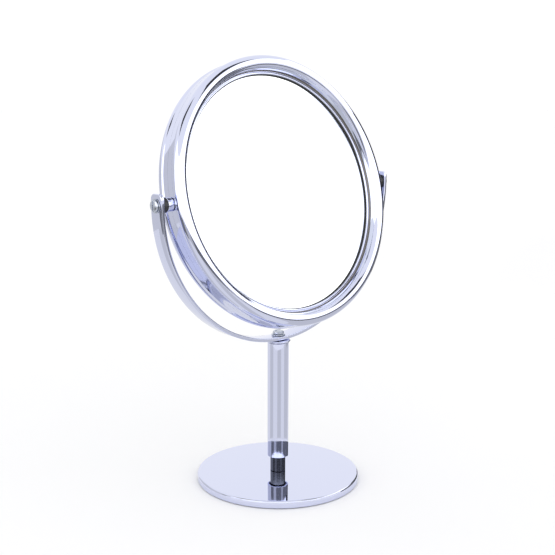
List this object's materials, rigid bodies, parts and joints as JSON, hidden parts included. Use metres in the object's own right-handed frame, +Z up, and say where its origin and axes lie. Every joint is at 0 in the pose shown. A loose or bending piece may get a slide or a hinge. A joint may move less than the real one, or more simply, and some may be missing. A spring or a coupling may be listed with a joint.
{
  "type": "countertop mirror",
  "caption": "Free-standing round double-sided mirror: chromed drum head that turns in a semicircular strap yoke on a straight stem and a round weighted base.",
  "frame": {"origin": "centre of the foam pad's underside, on the table, below the stem's axis", "axes": "+Z up along the stem; +X along the pivot axis of the head, towards the right pivot as seen by someone looking into the plain glass from behind; -Y is the side that the plain glass looks to at rest"},
  "size_m": [0.183, 0.1, 0.2574],
  "materials": {
    "polished_chrome": "bright decorative chrome plate on polished steel",
    "turned_chrome": "chrome plate on a turned steel foot",
    "zinc_steel": "zinc-plated steel",
    "silvered_glass": "back-silvered float glass, ground edge",
    "eva_foam": "closed-cell foam, matt black",
    "black_rubber": "matt black rubber",
    "black_nylon": "moulded black nylon, satin",
    "grey_board": "uncoated grey board"
  },
  "bodies": {
    "stand": {"base_pad": "eva_foam", "base_shell": "polished_chrome", "base_weight": "zinc_steel", "base_washer": "zinc_steel", "base_screw": "zinc_steel", "stem_foot": "turned_chrome", "stem_tube": "polished_chrome", "stem_top_plug": "zinc_steel", "stem_collar": "polished_chrome", "yoke_strap": "polished_chrome", "yoke_washer": "zinc_steel", "yoke_screw": "zinc_steel"},
    "head": {"drum_band": "zinc_steel", "core_sheet": "grey_board", "front_bezel": "polished_chrome", "front_gasket": "black_rubber", "front_glass": "silvered_glass", "front_backing": "grey_board", "rear_bezel": "polished_chrome", "rear_gasket": "black_rubber", "rear_glass": "silvered_glass", "rear_backing": "grey_board", "pivot_screw_left": "zinc_steel", "wave_washer_left": "zinc_steel", "pivot_spacer_left": "black_nylon", "pivot_nut_left": "zinc_steel", "pivot_screw_right": "zinc_steel", "wave_washer_right": "zinc_steel", "pivot_spacer_right": "black_nylon", "pivot_nut_right": "zinc_steel"}
  },
  "joints": [
    {"name": "head_tilt", "type": "hinge", "parent": "stand", "child": "head", "pos_m": [0, 0, 0.1785], "axis": [1, 0, 0], "continuous": true}
  ]
}
